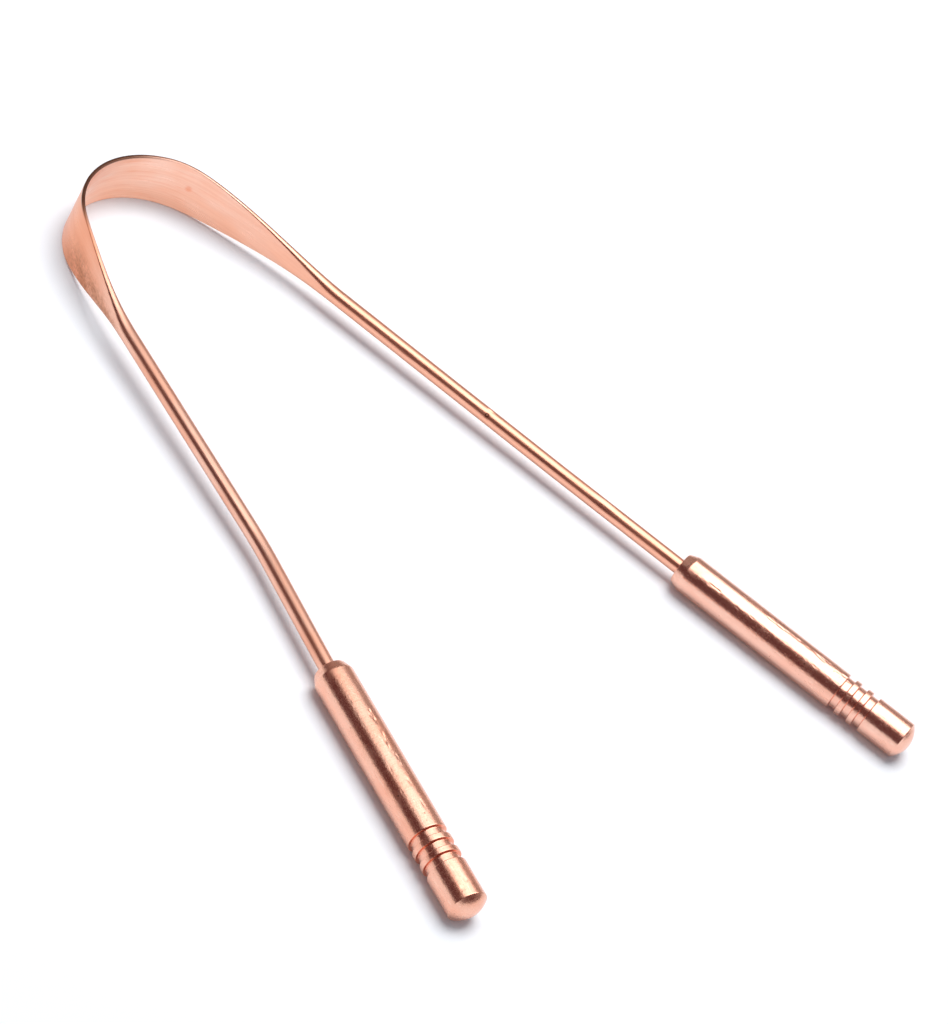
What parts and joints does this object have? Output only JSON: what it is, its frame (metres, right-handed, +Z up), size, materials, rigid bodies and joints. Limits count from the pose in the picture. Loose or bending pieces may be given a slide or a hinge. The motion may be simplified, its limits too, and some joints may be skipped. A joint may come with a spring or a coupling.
{
  "type": "tongue scraper",
  "caption": "Hand-held tongue scraper: copper wire rolled flat at its middle and bent into a U-shaped blade, with a turned, grooved copper handle at the end of each springy arm.",
  "frame": {"origin": "middle of the footprint, on the surface that the scraper lies on", "axes": "+Y points along the tool to the crown of the U-shaped blade, +Z is up, +X is toward the longer arm"},
  "size_m": [0.0902, 0.13, 0.0081],
  "materials": {
    "copper_wire": "drawn and rolled copper, polished bright, pink-orange",
    "turned_copper": "turned copper, polished, with fine handling marks"
  },
  "bodies": {
    "bow": {"blade_bow": "copper_wire"},
    "right_arm": {"right_shank": "copper_wire", "right_handle": "turned_copper"},
    "left_arm": {"left_shank": "copper_wire", "left_handle": "turned_copper"}
  },
  "joints": [
    {"name": "right_arm_spring", "type": "hinge", "parent": "bow", "child": "right_arm", "pos_m": [0.00965, 0.05775, 0.00405], "axis": [0, 0, 1], "range_deg": [-8, 8], "stiffness_Nm_per_rad": 0.34, "deforming": ["blade_bow"]},
    {"name": "left_arm_spring", "type": "hinge", "parent": "bow", "child": "left_arm", "pos_m": [-0.01531, 0.05609, 0.00405], "axis": [0, 0, -1], "range_deg": [-8, 8], "stiffness_Nm_per_rad": 0.42, "deforming": ["blade_bow"]}
  ]
}
